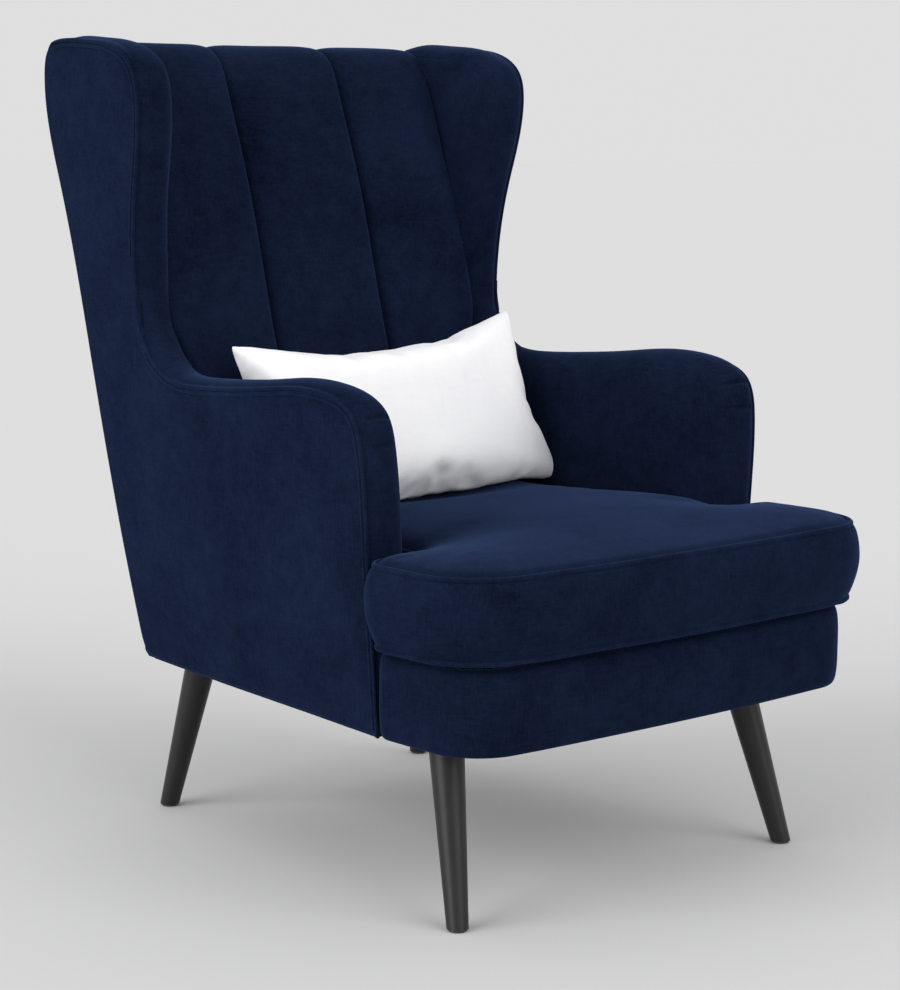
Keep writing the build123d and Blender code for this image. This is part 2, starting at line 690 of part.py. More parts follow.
with BuildPart() as zip_slider:
    with BuildSketch(Plane.XZ.offset(-CUSHION_BACK - 1.35)):
        with Locations((-ZIP_HALF_LENGTH + 10, ZIP_HEIGHT)):
            RectangleRounded(12, 9, 2)
    extrude(amount=-3.5)
export(zip_slider.part, "cushion_zip_slider")

# ---- Lumbar pillow ------------------------------------------------------------------------------

pillow_plane = Plane(origin=PILLOW_FOOT, x_dir=(1, 0, 0), z_dir=(0, -1, 0)).rotated((PILLOW_LEAN, 0, 0))
PILLOW_EDGE = 0.16      # thickness at the rim, as a share of the middle's


def pillow_solid(shrink):
    """A lens: full in the middle and thin at its four edges, standing on its long edge."""
    with BuildPart() as piece:
        half = PILLOW_THICKNESS / 2 - shrink
        rim = PILLOW_EDGE * half
        for sign in (-1, 1):
            with BuildSketch(pillow_plane):
                with Locations((0, PILLOW_HEIGHT / 2)):
                    Rectangle(PILLOW_WIDTH - 2 * shrink, PILLOW_HEIGHT - 2 * shrink)
            with BuildSketch(pillow_plane.offset(sign * rim)):
                with Locations((0, PILLOW_HEIGHT / 2)):
                    Rectangle(PILLOW_WIDTH - 2 * shrink, PILLOW_HEIGHT - 2 * shrink)
            with BuildSketch(pillow_plane.offset(sign * half)):
                with Locations((0, PILLOW_HEIGHT / 2)):
                    Rectangle(0.55 * PILLOW_WIDTH, 0.5 * PILLOW_HEIGHT)
            loft(ruled=True)
    return piece.part


pillow_insert = pillow_solid(2.0)
export(pillow_insert, "pillow_insert")
with BuildPart() as pillow_cover:
    add(pillow_solid(0.0))
    add(pillow_insert, mode=Mode.SUBTRACT)
export(pillow_cover.part, "pillow_cover")
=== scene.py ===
"""Looks of a wingback armchair: velvet cover, T-cushion, lumbar pillow, black legs. Metres, +Z up."""

import json
from math import cos, pi, radians, sin

import bmesh
import bpy
import numpy as np
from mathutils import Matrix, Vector
from mathutils.bvhtree import BVHTree


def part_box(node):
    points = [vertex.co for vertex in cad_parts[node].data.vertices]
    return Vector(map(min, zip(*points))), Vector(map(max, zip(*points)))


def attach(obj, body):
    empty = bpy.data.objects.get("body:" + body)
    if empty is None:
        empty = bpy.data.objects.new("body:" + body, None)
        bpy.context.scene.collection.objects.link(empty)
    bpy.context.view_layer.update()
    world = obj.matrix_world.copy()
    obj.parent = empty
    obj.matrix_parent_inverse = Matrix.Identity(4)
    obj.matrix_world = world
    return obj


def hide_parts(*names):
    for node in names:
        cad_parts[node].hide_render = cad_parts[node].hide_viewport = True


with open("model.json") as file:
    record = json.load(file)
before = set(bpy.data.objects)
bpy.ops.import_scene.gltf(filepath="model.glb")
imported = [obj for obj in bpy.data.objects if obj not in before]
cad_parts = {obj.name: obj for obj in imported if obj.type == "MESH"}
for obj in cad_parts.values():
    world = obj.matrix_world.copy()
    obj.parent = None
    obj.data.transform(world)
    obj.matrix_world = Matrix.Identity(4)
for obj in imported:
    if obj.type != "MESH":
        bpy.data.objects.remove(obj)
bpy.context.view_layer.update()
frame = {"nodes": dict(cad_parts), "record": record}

MM = 0.001
SIDES = {"left": -1, "right": 1}

# ---- Camera -------------------------------------------------------------------------------------

CAMERA_PLACE = (-2.098, -2.448, 0.922)
CAMERA_TURN = 40.71         # degrees to the right of looking along +Y
CAMERA_DOWN = 8.45          # degrees below the horizon
CAMERA_LENS = 90.9

camera_data = bpy.data.cameras.new("camera")
camera_data.lens = CAMERA_LENS
camera_data.sensor_width = 36.0
camera_data.clip_end = 60.0
camera = bpy.data.objects.new("camera", camera_data)
camera.location = CAMERA_PLACE
camera.rotation_euler = (radians(90 - CAMERA_DOWN), 0, radians(-CAMERA_TURN))
bpy.context.scene.collection.objects.link(camera)
bpy.context.scene.camera = camera

# ---- Curves and grids ---------------------------------------------------------------------------


def travelled(line):
    """Distance along a line from its first point to each point."""
    return np.concatenate([[0], np.cumsum(np.linalg.norm(np.diff(line, axis=0), axis=1))])


def even(line, count, closed=False):
    """The same line with count evenly spaced points; a closed one doesn't repeat its first."""
    line = np.asarray(line, float)
    length = travelled(line)
    at = np.linspace(0, length[-1], count + 1)[:-1] if closed else np.linspace(0, length[-1], count)
    return np.stack([np.interp(at, length, line[:, i]) for i in range(line.shape[1])], axis=1)


def smooth_curve(points, count):
    """A natural cubic spline through the points, by chord length, evenly spaced.

    The second derivatives at the points, called bend, solve the usual spline equations.
    """
    p = np.array(points, float)
    t = travelled(p)
    h = np.diff(t)
    n = len(p)
    row = np.arange(1, n - 1)
    system = np.eye(n)
    system[row, row - 1] = h[:-1]
    system[row, row] = 2 * (h[:-1] + h[1:])
    system[row, row + 1] = h[1:]
    right = np.zeros_like(p)
    right[1:-1] = 6 * np.diff(np.diff(p, axis=0) / h[:, None], axis=0)
    bend = np.linalg.solve(system, right)
    fine = np.linspace(0, t[-1], 40 * n)
    k = np.clip(np.searchsorted(t, fine) - 1, 0, n - 2)
    to_next = (t[k + 1] - fine)[:, None]
    from_last = (fine - t[k])[:, None]
    g = h[k][:, None]
    line = (bend[k] * to_next ** 3 + bend[k + 1] * from_last ** 3) / (6 * g)
    line += (p[k] / g - bend[k] * g / 6) * to_next
    line += (p[k + 1] / g - bend[k + 1] * g / 6) * from_last
    return even(line, count)


def outward(line, closed=False):
    """Unit normals of a flat line, 90 degrees to the left of its direction."""
    if closed:
        step = np.roll(line, -1, 0) - np.roll(line, 1, 0)
    else:
        step = np.gradient(line, axis=0)
    normal = np.stack([-step[:, 1], step[:, 0]], axis=1)
    return normal / np.linalg.norm(normal, axis=1)[:, None]


def ease(x, low, high):
    """0 below low, 1 above high, and a smooth S between."""
    t = np.clip((x - low) / (high - low), 0, 1)
    return t * t * (3 - 2 * t)


def ripple(a, b, seed, waves=7, size=1.0):
    """A sum of a few random long waves over two coordinates, between about -1 and 1."""
    random = np.random.default_rng(seed)
    total = 0.0
    for _ in range(waves):
        along_a = random.normal(0, size)
        along_b = random.normal(0, size)
        phase = random.uniform(0, 2 * pi)
        total = total + np.sin(along_a * a + along_b * b + phase)
    return total / waves


MERGE_DISTANCE = 0.01 * MM


def grid_piece(name, *grids, facing=None):
    """A mesh over one or more arrays of points, rows by columns, with doubled points merged.

    Grids that share an edge join along it, a row or column that shrinks to one point becomes a
    pole, and a grid whose last row or column repeats its first is closed. Faces look outwards,
    and those of an open sheet look the way that facing points.
    """
    points = []
    quads = []
    total = 0
    for grid in grids:
        rows, columns = grid.shape[:2]
        index = total + np.arange(rows * columns).reshape(rows, columns)
        corners = [index[:-1, :-1], index[:-1, 1:], index[1:, 1:], index[1:, :-1]]
        quads.append(np.stack(corners, axis=-1).reshape(-1, 4))
        points.append(grid.reshape(-1, 3))
        total += rows * columns
    points = np.vstack(points)
    quads = np.vstack(quads)
    mesh = bpy.data.meshes.new(name)
    mesh.vertices.add(total)
    mesh.vertices.foreach_set("co", points.astype(np.float32).ravel())
    mesh.loops.add(quads.size)
    mesh.loops.foreach_set("vertex_index", quads.astype(np.int32).ravel())
    mesh.polygons.add(len(quads))
    mesh.polygons.foreach_set("loop_start", np.arange(0, quads.size, 4, dtype=np.int32))
    mesh.update(calc_edges=True)
    work = bmesh.new()
    work.from_mesh(mesh)
    bmesh.ops.remove_doubles(work, verts=work.verts, dist=MERGE_DISTANCE)
    bmesh.ops.dissolve_degenerate(work, edges=work.edges, dist=MERGE_DISTANCE)
    bmesh.ops.recalc_face_normals(work, faces=work.faces)
    if facing is not None:
        seen = sum(face.calc_area() * face.normal.dot(Vector(facing)) for face in work.faces)
        if seen < 0:
            bmesh.ops.reverse_faces(work, faces=work.faces)
    work.to_mesh(mesh)
    work.free()
    mesh.polygons.foreach_set("use_smooth", np.ones(len(mesh.polygons), bool))
    piece = bpy.data.objects.new(name, mesh)
    bpy.context.scene.collection.objects.link(piece)
    return piece


def around(grid):
    """The grid with its first column repeated at the end, which closes it."""
    return np.concatenate([grid, grid[:, :1]], axis=1)


def tube_points(path, reference, radius, sides=12, closed=False):
    """Rings of the given radius round a path; reference is a direction across the path."""
    if closed:
        tangent = np.roll(path, -1, 0) - np.roll(path, 1, 0)
    else:
        tangent = np.gradient(path, axis=0)
    tangent /= np.linalg.norm(tangent, axis=1)[:, None]
    reference = np.broadcast_to(np.asarray(reference, float), path.shape)
    across = reference - tangent * np.sum(reference * tangent, axis=1)[:, None]
    across /= np.linalg.norm(across, axis=1)[:, None]
    other = np.cross(tangent, across)
    angle = np.linspace(0, 2 * pi, sides, endpoint=False)
    size = np.broadcast_to(np.asarray(radius, float), (len(path),))[:, None, None]
    ring = np.cos(angle)[None, :, None] * across[:, None] + np.sin(angle)[None, :, None] * other[:, None]
    return path[:, None] + size * ring


def rounded_ends(path, radius):
    """Radii along a path that close both of its ends as domes."""
    along = travelled(path)
    from_end = np.minimum(along, along[-1] - along)
    return radius * np.sqrt(np.clip(1 - (1 - np.clip(from_end / radius, 0, 1)) ** 2, 0, 1))


def thickness(piece, amount):
    """Gives a sheet its thickness, on the inside of its outer face."""
    wall = piece.modifiers.new("thickness", "SOLIDIFY")
    wall.thickness = amount
    wall.offset = -1
    return piece


# ---- The sides' own coordinates -----------------------------------------------------------------

SIDE_X = 0.2815             # outer face of a side at Y = 0 and Z = 0
SIDE_LEAN = 0.0605          # how much its X grows per metre of height
SIDE_TOE_IN = 0.0602        # how much its X shrinks per metre to the back
INNER_FACE = 0.062          # depth of the inner face of a padded side

side_normal = np.array([1, SIDE_TOE_IN, -SIDE_LEAN])
side_normal /= np.linalg.norm(side_normal)
side_rear = np.cross([SIDE_LEAN, 0, 1], side_normal)
side_rear /= np.linalg.norm(side_rear)
side_up = np.cross(side_normal, side_rear)


def on_side(u, v, depth, sign):
    """A point of a side: u to the back, v up, depth inwards from the outer face."""
    u, v, depth = np.broadcast_arrays(u, v, depth)
    p = u[..., None] * side_rear + v[..., None] * side_up - depth[..., None] * side_normal
    p[..., 0] += SIDE_X
    return p * np.array([sign, 1, 1])


def side_x(y, z, depth=0.0):
    """X of the right side's plane at that depth, at the given Y and Z."""
    return SIDE_X + SIDE_LEAN * z - SIDE_TOE_IN * y - depth


# The side's edge from the foot of the arm, over the arm and the wing, down the rear: u and v.
ARM_EDGE = [(-242, 222), (-241.5, 330), (-241, 440), (-240, 540), (-224, 594), (-172, 615),
            (-40, 611), (112, 599), (204, 613), (242, 659)]
WING_EDGE = [(248, 705), (233, 836), (211, 944), (222, 995), (262, 1021), (330, 1030), (400, 1032)]
REAR_EDGE = [(441, 1018), (455, 980), (431, 835), (383, 611), (327, 346), (300, 246)]
BOTTOM_EDGE = [(291, 227), (270, 219), (100, 216), (-100, 214.5), (-233, 213), (-239.5, 215.5)]
# Where a side is divided into four edges: foot, arm top, wing top, rear corner.
EDGE_MARKS = np.array([(-239.5, 215.5), (-172, 615), (262, 1021), (447, 1010)]) * MM

edge_line = smooth_curve(np.array(ARM_EDGE + WING_EDGE + REAR_EDGE) * MM, 900)
whole_edge = np.vstack([edge_line, even(np.array(BOTTOM_EDGE) * MM, 160)])
WING_END_U = 0.41           # where the inner side ends, along the top of the wing
BAND_END_U = 0.44           # where the band ends
wing_end = int(np.argmax((edge_line[:, 0] > WING_END_U) & (edge_line[:, 1] > 1.0)))
band_end = int(np.argmax((edge_line[:, 0] > BAND_END_U) & (edge_line[:, 1] > 0.9)))
band_line = even(edge_line[:band_end], 700)
band_out = outward(band_line)

ACROSS, ALONG = 60, 190     # points along a side's short and long edges


def crowded(count):
    """Shares from 0 to 1 that crowd towards both ends."""
    return 0.5 - 0.5 * np.cos(np.linspace(0, pi, count))


def marked_ring(loop, marks):
    """A closed loop resampled between four marks, with its points crowded towards each mark."""
    cuts = [int(np.argmin(np.linalg.norm(loop - mark, axis=1))) for mark in marks]
    loop = np.roll(loop, -cuts[0], axis=0)
    cuts = [cut - cuts[0] for cut in cuts] + [len(loop)]
    loop = np.vstack([loop, loop[:1]])
    parts = []
    for i, count in enumerate((ACROSS, ALONG, ACROSS, ALONG)):
        stretch = loop[cuts[i]:cuts[i + 1] + 1]
        length = travelled(stretch)
        at = crowded(count)[:-1] * length[-1]
        parts.append(np.stack([np.interp(at, length, stretch[:, k]) for k in (0, 1)], axis=1))
    return np.vstack(parts)


def filled(ring):
    """The area inside a marked ring: opposite edges blended, less the blend of the corners."""
    a = ACROSS - 1
    b = ALONG - 1
    ring = np.vstack([ring, ring[:1]])
    front = ring[:a + 1]
    top = ring[a:a + b + 1]
    crown = ring[a + b:2 * a + b + 1][::-1]
    rear = ring[2 * a + b:][::-1]
    s = crowded(ALONG)[None, :, None]
    t = crowded(ACROSS)[:, None, None]
    edges = (1 - t) * rear[None] + t * top[None] + (1 - s) * front[:, None] + s * crown[:, None]
    low = (1 - s) * front[0] + s * crown[0]
    high = (1 - s) * front[-1] + s * crown[-1]
    return edges - (1 - t) * low - t * high


def distance_to(points, line):
    """Distance of each point to the nearest point of a line, in the plane, a batch at a time."""
    flat = points.reshape(-1, 2)
    batch = 4000
    nearest = [np.linalg.norm(flat[i:i + batch, None] - line[None], axis=2).min(axis=1)
               for i in range(0, len(flat), batch)]
    return np.concatenate(nearest).reshape(points.shape[:-1])


# ---- Sides: outside covers, boxing bands, welts, inner pads -------------------------------------

COVER_ROLL = 0.005          # radius of the rolled edge
COVER_CROWN = 0.0025
COVER_REACH = (0.014, 0.021)    # depths to which the edge goes on inwards
COVER_THICKNESS = 0.003
TURN_UNDER = 0.013          # how much further the cover reaches inwards under the frame


def side_cover(side, sign):
    """The outside of a side: flat with a faint crown, rolled inwards round its edge.

    The face stands out by the crown times 1 - exp(-distance to the edge / 30 mm). The roll is a
    quarter circle. A short flat stretch follows it inwards, and a longer one under the frame.
    """
    ring = marked_ring(whole_edge, EDGE_MARKS)
    normal = outward(ring, closed=True)
    inner = ring - normal * COVER_ROLL
    face = filled(inner)
    gap = distance_to(face, inner)
    swell = COVER_CROWN * (1 - np.exp(-gap / 0.03))
    swell = swell + 0.0007 * ripple(face[..., 0], face[..., 1], 3, size=14) * ease(gap, 0, 0.06)
    turn = np.linspace(0, pi / 2, 9)[:, None]
    rolled = inner[None] + normal[None] * COVER_ROLL * np.sin(turn)[..., None]
    rim = np.concatenate([rolled, rolled[-1:], rolled[-1:]])
    rim_depth = np.concatenate([COVER_ROLL * (1 - np.cos(turn)), np.array(COVER_REACH)[:, None]])
    rim_depth = rim_depth * np.ones(len(ring))
    rim_depth[-1] += TURN_UNDER * (1 - ease(ring[:, 1], 0.222, 0.232))
    face_grid = on_side(face[..., 0], face[..., 1], -swell, sign)
    rim_grid = around(on_side(rim[..., 0], rim[..., 1], rim_depth, sign))
    cover = grid_piece(f"side_cover_{side}", face_grid, rim_grid, facing=side_normal * [sign, 1, 1])
    return thickness(cover, COVER_THICKNESS)


BAND_BASE = 0.010           # how far the band's outer edge lies inside the side's edge
BAND_CROWN = 0.007          # how far its crown stands outside the side's edge
BAND_HIDDEN = 0.003         # how much deeper its underside lies
CROWN_DEPTH = 0.024
ROLL_INSET = 0.034          # where the band's inner half meets the inner face
TUCKS = (0.334, 0.366)      # distance of the two tucks from the foot of the arm, along the edge
TUCK_DEPTH = 0.0035


def boxing_band(side, sign):
    """The padded band over the edge of arm and wing, from the arm's foot to the wing's rear.

    Its section is two quarters of an oval, a short one from the welt up to the crown and a long
    one from the crown down to the inner face. Each tuck is a Gaussian notch with a swelling
    beside it, over the middle of the band. The crown sinks over the wing, and both ends close.
    """
    a = np.linspace(0.15, pi, 34)
    outer = a < pi / 2
    height = np.where(outer, (BAND_BASE + BAND_CROWN) * np.sin(a) ** 0.75 - BAND_BASE,
                      BAND_CROWN - (ROLL_INSET + BAND_CROWN) * (1 - np.sin(a)))
    depth = np.where(outer, CROWN_DEPTH - (CROWN_DEPTH - 0.002) * np.cos(a),
                     CROWN_DEPTH - (INNER_FACE - CROWN_DEPTH) * np.cos(a))
    back = np.linspace(0, 1, 7)[1:]
    depth = np.append(depth, INNER_FACE + (0.004 - INNER_FACE) * back)
    height = np.append(height, -ROLL_INSET + (ROLL_INSET - BAND_BASE - BAND_HIDDEN) * back)
    seen = np.arange(len(depth)) < len(a)
    along = travelled(band_line)[:, None]
    notch = sum(np.exp(-((along - place) / 0.0022) ** 2) for place in TUCKS)
    swell = sum(np.exp(-((along - place + 0.011) / 0.009) ** 2) for place in TUCKS)
    middle = ease(depth, 0.008, 0.018) * (1 - ease(depth, 0.040, 0.056)) * seen
    tuck = TUCK_DEPTH * (0.3 * swell - notch) * middle
    wave = 0.0009 * ripple(along, depth[None] * 2, 11, size=24) * seen
    low_crown = 1 - 0.5 * ease(band_line[:, 1], 0.97, 1.02)[:, None]
    low_crown = low_crown * (1 - ease(along, along[-1] - 0.07, along[-1]))
    lowered = (height + BAND_BASE) * (0.35 + 0.65 * low_crown) - BAND_BASE
    height = np.where(height > -BAND_BASE, lowered, height)
    ends = np.sqrt(np.clip(np.minimum(along, along[-1] - along) / 0.004, 0, 1))
    floor = BAND_BASE + BAND_HIDDEN
    height = (height + tuck + wave + floor) * ends - floor
    uv = band_line[:, None] + band_out[:, None] * height[..., None]
    grid = on_side(uv[..., 0], uv[..., 1], depth[None], sign)
    return grid_piece(f"band_{side}", around(grid))


WELT_RADIUS = 0.0025
WELT_INSETS = (0.0024, 0.0084)
WELT_PROUD = 0.0006         # how far the cords' centres lie outside the cover
WELT_SINK = 0.004           # how far they go down into the cover at their rear end


def double_welt(side, sign):
    """Two thin cords side by side along the outer edge of the band, with closed, sunken ends."""
    cords = []
    for inset in WELT_INSETS:
        line = even(band_line - band_out * inset, 900)
        along = travelled(line)
        sunk = WELT_SINK * ease(along, along[-1] - 0.025, along[-1])
        path = on_side(line[:, 0], line[:, 1], sunk - WELT_PROUD, sign)
        radius = rounded_ends(path, WELT_RADIUS)
        cords.append(around(tube_points(path, side_normal * [sign, 1, 1], radius, sides=10)))
    return grid_piece(f"welt_cords_{side}", *cords)


INNER_RIM = 0.058           # depth at the rim, under the band's inner edge
INNER_INSET = 0.020
INNER_THICKNESS = 0.006
SEAT_LINE = 0.322
# Where the inside of the wing goes behind the inside back, from the top corner to the deck.
INNER_REAR = [(430, 1000), (436, 970), (404, 850), (352, 700), (322, 560), (290, 440), (272, 322)]
INNER_MARKS = np.array([(-222, 322), (-172, 595), (268, 1001), (430, 1002)]) * MM


def inner_side(side, sign):
    """The padded inside of arm and wing, from the seat deck up and back to the inside back.

    Its depth rises from the rim to the inner face as 1 - exp(-distance / 5 mm), and it swells
    at the top rear corner of the wing, where it turns towards the back.
    """
    over = edge_line[:wing_end] - outward(edge_line)[:wing_end] * INNER_INSET
    over = over[over[:, 1] > SEAT_LINE]
    rear = smooth_curve(np.vstack([over[-1:], np.array(INNER_REAR) * MM]), 160)
    bottom = np.linspace(rear[-1], (over[0, 0], SEAT_LINE), 120)
    ring = marked_ring(np.vstack([over, rear[1:], bottom[1:-1]]), INNER_MARKS)
    face = filled(ring)
    gap = distance_to(face, ring)
    depth = INNER_RIM + (INNER_FACE + 0.0008 - INNER_RIM) * (1 - np.exp(-gap / 0.005))
    corner = ease(face[..., 1], 0.90, 1.02) * ease(face[..., 0], 0.29, 0.40)
    calm = ease(gap, 0.015, 0.05)
    depth = depth + 0.020 * corner + 0.0016 * ripple(face[..., 0], face[..., 1], 5, size=16) * calm
    grid = on_side(face[..., 0], face[..., 1], depth, sign)
    pad = grid_piece(f"inner_side_{side}", grid, facing=-side_normal * [sign, 1, 1])
    return thickness(pad, INNER_THICKNESS)


# ---- Inside back, outside back, front border ----------------------------------------------------

CHANNEL_SEAM = 0.095
CHANNEL_CROWN = 0.011
CHANNEL_THICKNESS = 0.018
SEAM_DEPTH = 0.007
CHANNEL_TUCK = 0.004        # how far the outer channels reach into the sides
WING_TUCK = 0.014           # and how much further where the wing is narrowest
# The face of the back at its seams, from the deck up and over the top: Y and Z.
BACK_FACE = [(184, 325), (184, 400), (189, 480), (228, 620), (287, 833), (335, 968), (354, 1006),
             (376, 1022), (412, 1022), (441, 1008), (450, 984)]


def back_channel(name, low_x, high_x):
    """One padded channel of the inside back, over its face and over the top of the frame.

    Across the channel, with w from -1 to 1, it stands 1 - w to the power 6 times the crown out
    from the face, less a seam that falls off as exp(-distance to the seam / 4 mm).
    """
    face = smooth_curve(np.array(BACK_FACE) * MM, 230)
    out = outward(face)
    w = np.sin(np.linspace(-pi / 2, pi / 2, 56))
    w = np.sign(w) * np.abs(w) ** 0.9
    narrow = ease(face[:, 1], 0.60, 0.68) * (1 - ease(face[:, 1], 0.80, 0.88))
    limit = side_x(face[:, 0], face[:, 1], INNER_FACE - CHANNEL_TUCK - WING_TUCK * narrow)
    low = -limit if low_x is None else np.full(len(face), low_x)
    high = limit if high_x is None else np.full(len(face), high_x)
    x = (low + high)[:, None] / 2 + (high - low)[:, None] / 2 * w[None]
    y = face[:, :1]
    z = face[:, 1:]
    to_seam = np.minimum(x - low[:, None], high[:, None] - x)
    rise = CHANNEL_CROWN * (1 - np.abs(w[None]) ** 6) - SEAM_DEPTH * np.exp(-to_seam / 0.0040)
    rise = rise * (1 - 0.6 * ease(z, 0.96, 1.015))
    rise = rise + 0.0009 * ripple(x * 2.0, z, 21, size=13)
    sunk = np.full_like(x, -CHANNEL_THICKNESS)
    outer, inner = (np.stack([x, y + out[:, :1] * by, z + out[:, 1:] * by], axis=-1) for by in (rise, sunk))
    loop = np.concatenate([outer, inner[:, ::-1]], axis=1)
    first, last = (np.repeat(loop[i].mean(axis=0)[None, None], loop.shape[1], axis=1) for i in (0, -1))
    return grid_piece(name, around(np.concatenate([first, loop, last])))


# The outside of the back starts under the top's edge and ends under the back rail: Y and Z.
BACK_TOP = np.array([(436, 1017), (449, 1003)]) * MM
BACK_FOOT = np.array([(301.5, 246), (300, 226), (291, 219.5), (250, 219.5)]) * MM
BACK_EDGE_DEPTH = 0.0065    # how far inside the sides' outer faces its edges lie


def outside_back():
    """The outside of the back: a faint crown, tucked edges, and a turn under the back rail."""
    line = np.vstack([BACK_TOP, smooth_curve(np.array(REAR_EDGE[1:]) * MM, 140)[:-1], BACK_FOOT])
    line = even(line, 260)
    w = np.linspace(-1, 1, 90)
    limit = side_x(line[:, 0], line[:, 1], BACK_EDGE_DEPTH)
    x = limit[:, None] * w[None]
    to_edge = np.minimum(limit[:, None] - np.abs(x), 0.06)
    along = travelled(line)
    to_end = np.minimum(along, along[-1] - along)[:, None]
    crown = 0.0015 + 0.004 * (1 - w[None] ** 4) - 0.004 * np.exp(-to_edge / 0.004)
    crown = crown * ease(line[:, 1], 0.225, 0.30)[:, None]
    crown = crown - 0.002 * np.exp(-to_end / 0.004) * ease(line[:, 1], 0.4, 0.5)[:, None]
    crown = crown + 0.0005 * ripple(x, along[:, None], 31, size=12)
    out = outward(line)
    y = line[:, :1] + out[:, :1] * crown
    z = line[:, 1:] + out[:, 1:] * crown
    cover = grid_piece("outside_back", np.stack([x, y, z], axis=-1), facing=(0, 1, 0))
    return thickness(cover, COVER_THICKNESS)


BORDER_HALF_WIDTH = 0.326
BORDER_FRONT = -0.433
BORDER_BOW = 0.008
BORDER_CORNER = 0.071
BORDER_END = -0.252
BORDER_END_ROUND = 0.026
BORDER_TURN_UNDER = 0.040   # how far its lower edge reaches inwards under the frame
BORDER_DEPTH = 0.022
BORDER_HEIGHTS = (0.219, 0.3195)


def rounded_front(half_width, front, bow, corner, end):
    """Plan of a front with two rounded corners, from the right end round to the left end."""
    centre_x = half_width - corner
    centre_y = front + bow + corner
    turn = np.linspace(0, pi / 2, 30)
    arc = np.stack([centre_x + corner * np.cos(turn), centre_y - corner * np.sin(turn)], axis=1)
    x = np.linspace(centre_x, -centre_x, 60)[1:-1]
    middle = np.stack([x, front + bow * (x / centre_x) ** 2], axis=1)
    left = arc[::-1] * [-1, 1]
    return np.vstack([[(half_width, end)], arc, middle, left, [(-half_width, end)]])


def front_border():
    """The padded border under the cushion: a bulging face carried round the front.

    Over the face, from the bottom at -90 degrees to the top at 90, it stands out by 14.5 mm
    times the cosine to the power 0.42, less 10 mm. The bottom turns in under the frame, and
    both ends close to a line.
    """
    plan = rounded_front(BORDER_HALF_WIDTH, BORDER_FRONT, BORDER_BOW, BORDER_CORNER, BORDER_END)
    line = even(plan, 420)
    out = outward(line)
    out *= np.sign(np.sum(out * (line - [0, -0.25]), axis=1))[:, None]
    low, high = BORDER_HEIGHTS
    middle, half = (low + high) / 2, (high - low) / 2
    turn = np.linspace(-pi / 2, pi / 2, 30)
    z_face = middle + half * np.sign(np.sin(turn)) * np.abs(np.sin(turn)) ** 0.8
    o_face = -0.010 + 0.0145 * np.cos(turn) ** 0.42
    z = np.concatenate([z_face, np.linspace(high, low, 6)])
    o = np.concatenate([o_face, [-BORDER_DEPTH, -0.024, -0.028, -0.032, -0.036, -BORDER_TURN_UNDER]])
    along = travelled(line)
    from_end = np.clip(np.minimum(along, along[-1] - along) / BORDER_END_ROUND, 0, 1)
    ends = np.sqrt(1 - (1 - from_end) ** 2)
    wave = 0.0008 * ripple(along[:, None], z[None] * 3, 41, size=17)
    o = (o[None] + wave + BORDER_DEPTH) * np.where(o < -BORDER_DEPTH, 1, ends[:, None]) - BORDER_DEPTH
    z = middle + (z[None] - middle) * (0.9 + 0.1 * ends[:, None])
    xy = line[:, None] + out[:, None] * o[..., None]
    points = np.concatenate([xy, z[..., None]], axis=-1)
    return grid_piece("border_cover", around(points))


DECK_INSET = 0.003
DECK_CORNER = 0.05
DECK_TUCK = 0.016           # how far inside the sides' outer faces it ends


def deck_cover():
    """The padded deck under the cushion: a low pillow with a rounded rim, closed below.

    From half its height, the top rises by the rest times 1 - exp(-distance to the edge / 12 mm).
    """
    low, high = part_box("deck_pad")
    plan = rounded_front(high[0] - DECK_INSET, low[1] + DECK_INSET, BORDER_BOW, DECK_CORNER, high[1])
    plan = even(np.vstack([plan, plan[:1]]), 400, closed=True)
    limit = side_x(plan[:, 1], high[2], DECK_TUCK)
    plan[:, 0] = np.clip(plan[:, 0], -limit, limit)
    centre = np.array([0, (low[1] + high[1]) / 2])
    shares = 1 - (1 - np.linspace(0, 1, 40)) ** 1.7
    top = centre + (plan - centre)[None] * shares[:, None, None]
    gap = distance_to(top, plan)
    middle = (low[2] + high[2]) / 2
    rise = (high[2] - middle) * (1 - np.exp(-gap / 0.012))
    rise = rise + 0.0006 * ripple(top[..., 0], top[..., 1], 61, size=20) * ease(gap, 0.01, 0.04)
    bottom = np.concatenate([top[::-1], np.full(top.shape[:2] + (1,), low[2])], axis=-1)
    top = np.concatenate([top, (middle + rise)[..., None]], axis=-1)
    return grid_piece("seat_deck", around(np.concatenate([top, bottom])))


# ---- Seat cushion -------------------------------------------------------------------------------

CUSHION_HALF_WIDTH = 0.340
CUSHION_FRONT = -0.446
CUSHION_CORNER = 0.082
CUSHION_EAR_BACK = -0.2555
CUSHION_BACK = 0.1563
CUSHION_TOP_SEAM = 0.425
CUSHION_BOTTOM_SEAM = 0.3275
CUSHION_CENTRE = np.array([0.0, -0.300])
CUSHION_CROWN = 0.019
CUSHION_BULGE = 0.015
CUSHION_UNDERCUT = 0.007
EAR_ROUND = 0.032
DENT_DEPTH = 0.019          # the hollow that the pillow presses into the back of the cushion
DENT_REACH = 0.17
PILLOW_X = 0.019            # where the pillow's middle stands on it


